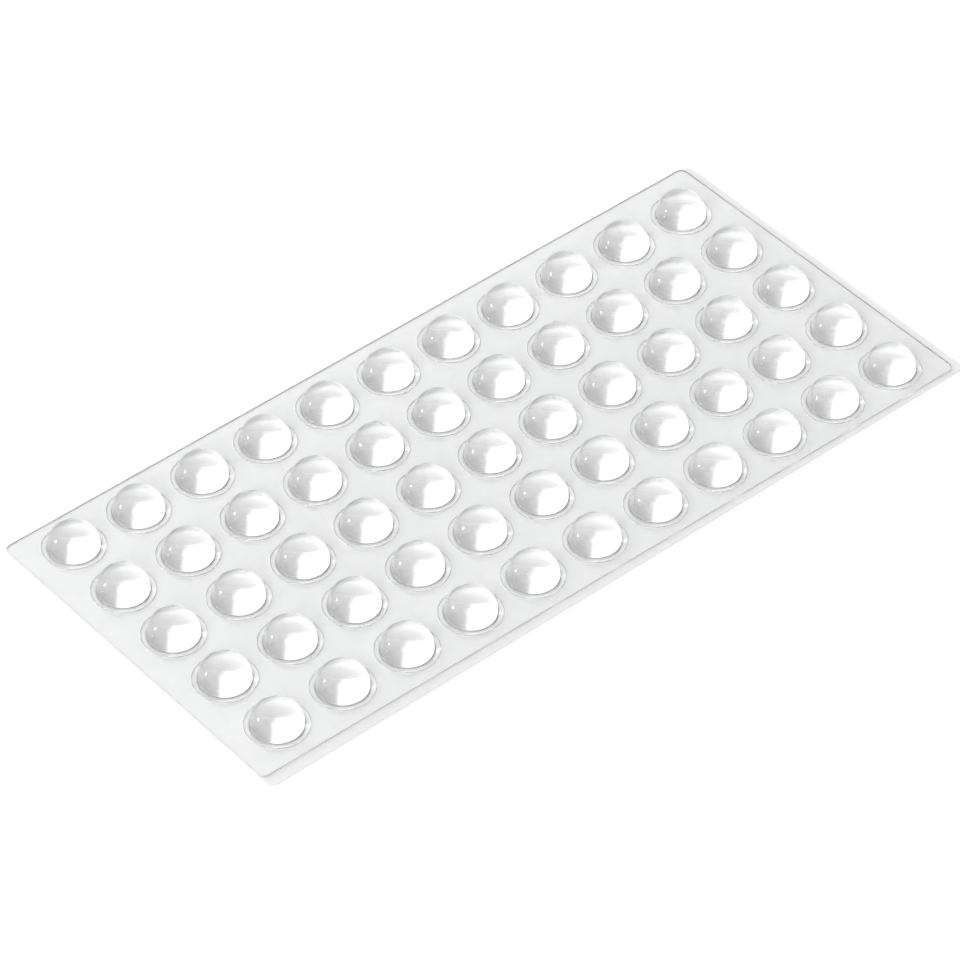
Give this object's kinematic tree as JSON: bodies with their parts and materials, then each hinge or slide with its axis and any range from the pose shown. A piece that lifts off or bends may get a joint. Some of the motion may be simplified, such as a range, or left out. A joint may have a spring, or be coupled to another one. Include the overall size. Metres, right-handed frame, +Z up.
{
  "type": "sheet of self-adhesive cabinet door bumpers",
  "caption": "Sheet of clear half-round self-adhesive cabinet door bumpers, each cut free in the clear web around it, all on one paper release liner.",
  "frame": {"origin": "on the back of the release liner, in the middle of its outline", "axes": "+X along the longer side of the sheet, +Y across it, +Z up through the domes"},
  "size_m": [0.1432, 0.0682, 0.005],
  "materials": {
    "clear_polyurethane": "clear, glossy",
    "release_liner": "smooth, silicone coated"
  },
  "bodies": {
    "root": {"bumper_row1_01": "clear_polyurethane", "bumper_row1_02": "clear_polyurethane", "bumper_row1_03": "clear_polyurethane", "bumper_row1_04": "clear_polyurethane", "bumper_row1_05": "clear_polyurethane", "bumper_row1_06": "clear_polyurethane", "bumper_row1_07": "clear_polyurethane", "bumper_row1_08": "clear_polyurethane", "bumper_row1_09": "clear_polyurethane", "bumper_row1_10": "clear_polyurethane", "bumper_row1_11": "clear_polyurethane", "bumper_row2_01": "clear_polyurethane", "bumper_row2_02": "clear_polyurethane", "bumper_row2_03": "clear_polyurethane", "bumper_row2_04": "clear_polyurethane", "bumper_row2_05": "clear_polyurethane", "bumper_row2_06": "clear_polyurethane", "bumper_row2_07": "clear_polyurethane", "bumper_row2_08": "clear_polyurethane", "bumper_row2_09": "clear_polyurethane", "bumper_row2_10": "clear_polyurethane", "bumper_row2_11": "clear_polyurethane", "bumper_row3_01": "clear_polyurethane", "bumper_row3_02": "clear_polyurethane", "bumper_row3_03": "clear_polyurethane", "bumper_row3_04": "clear_polyurethane", "bumper_row3_05": "clear_polyurethane", "bumper_row3_06": "clear_polyurethane", "bumper_row3_07": "clear_polyurethane", "bumper_row3_08": "clear_polyurethane", "bumper_row3_09": "clear_polyurethane", "bumper_row3_10": "clear_polyurethane", "bumper_row3_11": "clear_polyurethane", "bumper_row4_01": "clear_polyurethane", "bumper_row4_02": "clear_polyurethane", "bumper_row4_03": "clear_polyurethane", "bumper_row4_04": "clear_polyurethane", "bumper_row4_05": "clear_polyurethane", "bumper_row4_06": "clear_polyurethane", "bumper_row4_07": "clear_polyurethane", "bumper_row4_08": "clear_polyurethane", "bumper_row4_09": "clear_polyurethane", "bumper_row4_10": "clear_polyurethane", "bumper_row4_11": "clear_polyurethane", "bumper_row5_01": "clear_polyurethane", "bumper_row5_02": "clear_polyurethane", "bumper_row5_03": "clear_polyurethane", "bumper_row5_04": "clear_polyurethane", "bumper_row5_05": "clear_polyurethane", "bumper_row5_06": "clear_polyurethane", "bumper_row5_07": "clear_polyurethane", "bumper_row5_08": "clear_polyurethane", "bumper_row5_09": "clear_polyurethane", "bumper_row5_10": "clear_polyurethane", "bumper_row5_11": "clear_polyurethane", "clear_web": "clear_polyurethane", "release_liner": "release_liner"}
  },
  "joints": []
}
